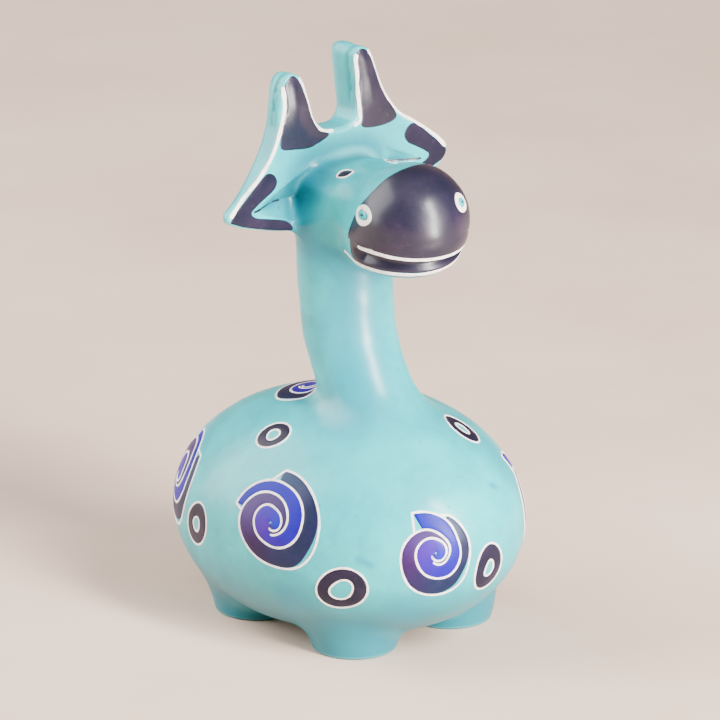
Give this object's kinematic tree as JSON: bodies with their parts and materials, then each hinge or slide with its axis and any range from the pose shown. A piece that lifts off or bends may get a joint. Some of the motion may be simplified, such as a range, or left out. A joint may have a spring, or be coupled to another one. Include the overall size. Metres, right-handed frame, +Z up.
{
  "type": "carved soapstone giraffe",
  "caption": "Free-standing stone carving of a plump giraffe with ears, horns and a round muzzle, dyed, with engraved spirals and rings.",
  "frame": {"origin": "centre of the bounding box, on the plane of the foot soles", "axes": "+Z up, the giraffe looks along -Y, its left side is +X"},
  "size_m": [0.0688, 0.0914, 0.1328],
  "materials": {
    "turquoise_dyed_stone": "waxed turquoise dyed soapstone, satin",
    "indigo_dyed_stone": "waxed indigo dyed soapstone, satin",
    "ultramarine_dyed_stone": "waxed ultramarine dyed soapstone, satin",
    "bare_soapstone": "bare engraved soapstone, matt"
  },
  "bodies": {
    "root": {"carved_stone": "turquoise_dyed_stone", "muzzle_dye": "indigo_dyed_stone", "mouth_groove_dye": "indigo_dyed_stone", "right_nostril_dye": "turquoise_dyed_stone", "left_nostril_dye": "turquoise_dyed_stone", "right_eye_dye": "indigo_dyed_stone", "left_eye_dye": "indigo_dyed_stone", "right_horn_dye": "indigo_dyed_stone", "left_horn_dye": "indigo_dyed_stone", "right_ear_dye": "indigo_dyed_stone", "left_ear_dye": "indigo_dyed_stone", "right_side_spiral_dark": "indigo_dyed_stone", "right_side_spiral_blue": "ultramarine_dyed_stone", "chest_spiral_dark": "indigo_dyed_stone", "chest_spiral_blue": "ultramarine_dyed_stone", "right_flank_spiral_dark": "indigo_dyed_stone", "right_flank_spiral_blue": "ultramarine_dyed_stone", "back_spiral_dark": "indigo_dyed_stone", "back_spiral_blue": "ultramarine_dyed_stone", "left_shoulder_spiral_dark": "indigo_dyed_stone", "left_shoulder_spiral_blue": "ultramarine_dyed_stone", "left_side_spiral_dark": "indigo_dyed_stone", "left_side_spiral_blue": "ultramarine_dyed_stone", "rump_spiral_dark": "indigo_dyed_stone", "rump_spiral_blue": "ultramarine_dyed_stone", "right_back_ring": "indigo_dyed_stone", "right_hip_ring": "indigo_dyed_stone", "right_shoulder_ring": "indigo_dyed_stone", "chest_ring": "indigo_dyed_stone", "left_back_ring": "indigo_dyed_stone", "left_side_ring": "indigo_dyed_stone", "left_hip_ring": "indigo_dyed_stone", "rump_ring": "indigo_dyed_stone"}
  },
  "joints": []
}
